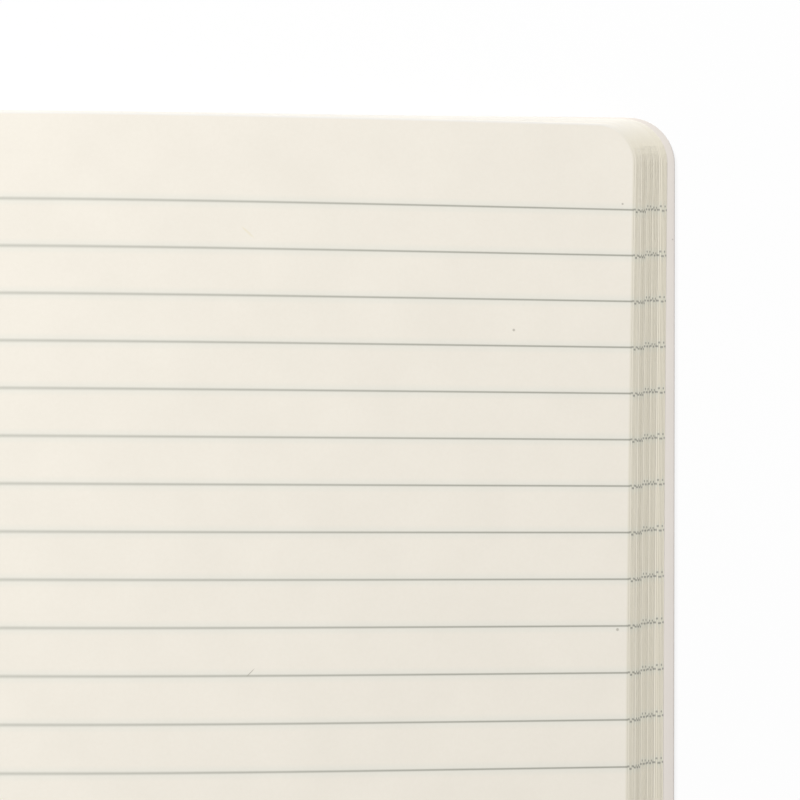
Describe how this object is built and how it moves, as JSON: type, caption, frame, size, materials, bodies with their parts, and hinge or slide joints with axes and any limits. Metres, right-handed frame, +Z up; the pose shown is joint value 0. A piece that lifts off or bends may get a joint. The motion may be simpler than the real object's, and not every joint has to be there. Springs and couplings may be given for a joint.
{
  "type": "open composition notebook",
  "caption": "Ruled composition notebook lying open flat, its sewn leaves arched over thin covers that swing on a cloth-taped spine.",
  "frame": {"origin": "centre of the spine on the table, under the gutter and halfway from head to tail", "axes": "+X from the gutter across the right-hand page, +Y towards the head, +Z up from the table"},
  "size_m": [0.387, 0.2476, 0.0103],
  "materials": {
    "leaf_paper": "uncoated, matt",
    "cover_card": "uncoated, matt",
    "spine_cloth": "woven, coated, dull",
    "lining_paper": "creped, matt",
    "thread": "twisted, matt"
  },
  "bodies": {
    "block": {"page_block": "leaf_paper", "sewing_thread": "thread", "spine_lining": "lining_paper", "spine_tape": "spine_cloth"},
    "front": {"front_cover": "cover_card"},
    "back": {"back_cover": "cover_card"}
  },
  "joints": [
    {"name": "front_cover_hinge", "type": "hinge", "parent": "block", "child": "front", "pos_m": [-0.0032, 0, 0.0001], "axis": [0, -1, 0], "range_deg": [0, 90], "deforming": ["spine_tape"]},
    {"name": "back_cover_hinge", "type": "hinge", "parent": "block", "child": "back", "pos_m": [0.0032, 0, 0.0001], "axis": [0, 1, 0], "range_deg": [0, 90], "deforming": ["spine_tape"]}
  ]
}
